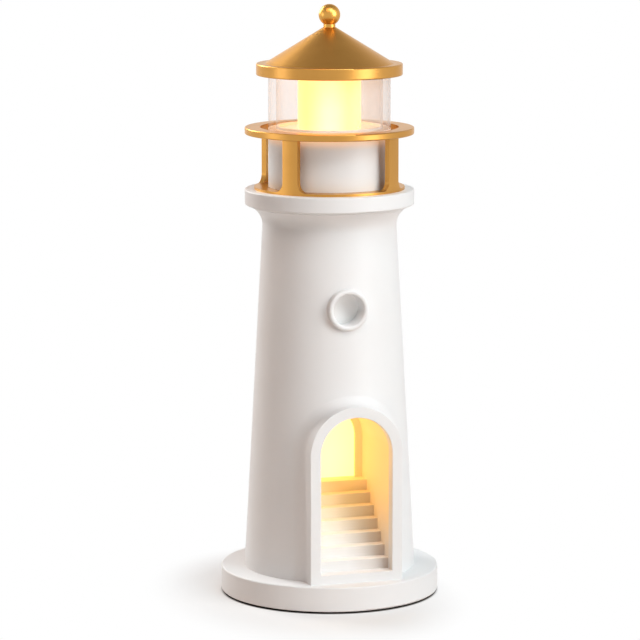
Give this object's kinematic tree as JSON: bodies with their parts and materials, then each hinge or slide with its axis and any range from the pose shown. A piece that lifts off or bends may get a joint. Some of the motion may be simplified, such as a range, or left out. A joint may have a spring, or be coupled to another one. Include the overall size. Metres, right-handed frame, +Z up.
{
  "type": "lighthouse night light",
  "caption": "Battery night light shaped as a lighthouse: tapered tower with lit stairway and porthole, railed gallery, clear lantern and cone roof.",
  "frame": {"origin": "centre of the footprint, on the surface that the foot pads rest on", "axes": "+Z up along the tower's axis; the doorway and the porthole face -Y; +X to the right seen from the door"},
  "size_m": [0.096, 0.096, 0.2595],
  "materials": {
    "white_shell": "fine satin-matte moulded or painted white",
    "white_cover": "fine spark-eroded texture",
    "stair_white": "matte moulded",
    "window_white": "milky translucent film, smooth",
    "gold_satin": "satin gold lacquer",
    "gold_gloss": "polished gold plating",
    "clear_acrylic": "clear polished acrylic",
    "glow_diffuser": "opal, lit warm yellow",
    "glow_panel": "opal, lit warm yellow",
    "steel": "nickel plated",
    "black_plastic": "matte moulded",
    "foam": "closed-cell foam",
    "cell": "printed metal sleeve, plain",
    "board": "green solder mask",
    "board_white": "white solder mask",
    "led": "phosphor in clear resin",
    "wire": "insulated wire"
  },
  "bodies": {
    "light": {"base_disc": "white_shell", "bottom_cover": "white_cover", "switch_body": "steel", "foot_pad_1": "foam", "foot_pad_2": "foam", "foot_pad_3": "foam", "foot_pad_4": "foam", "battery_1": "cell", "battery_2": "cell", "battery_3": "cell", "contact_bridge_right": "steel", "contact_bridge_left": "steel", "contact_plus": "steel", "contact_minus": "steel", "cover_screws": "steel", "tower_screws": "steel", "battery_leads": "wire", "tower_shell": "white_shell", "stair_insert": "stair_white", "stair_light_panel": "glow_panel", "stair_led_board": "board", "stair_leds": "led", "light_box_cover": "stair_white", "porthole_ring": "white_shell", "sensor_window": "window_white", "motion_sensor": "steel", "sensor_board": "board", "board_parts": "black_plastic", "board_screws": "steel", "gallery_slab": "white_shell", "lantern_drum": "white_shell", "drum_screws": "steel", "rail_posts": "gold_satin", "rail_ring": "gold_satin", "lantern_glass": "clear_acrylic", "lamp_diffuser": "glow_diffuser", "lamp_board": "board_white", "lamp_leds": "led", "roof_shell": "gold_satin", "roof_liner": "stair_white", "finial": "gold_gloss", "finial_nut": "steel", "power_lead": "wire", "stair_lead": "wire", "lamp_lead": "wire"},
    "battery_door": {"battery_door": "white_cover"},
    "switch_knob": {"switch_knob": "black_plastic"}
  },
  "joints": [
    {"name": "battery_door_hinge", "type": "hinge", "parent": "light", "child": "battery_door", "pos_m": [0, -0.01535, 0.0022], "axis": [-1, 0, 0], "range_deg": [0, 95]},
    {"name": "switch_slide", "type": "slide", "parent": "light", "child": "switch_knob", "axis": [1, 0, 0], "range_m": [-0.002, 0.002]}
  ]
}
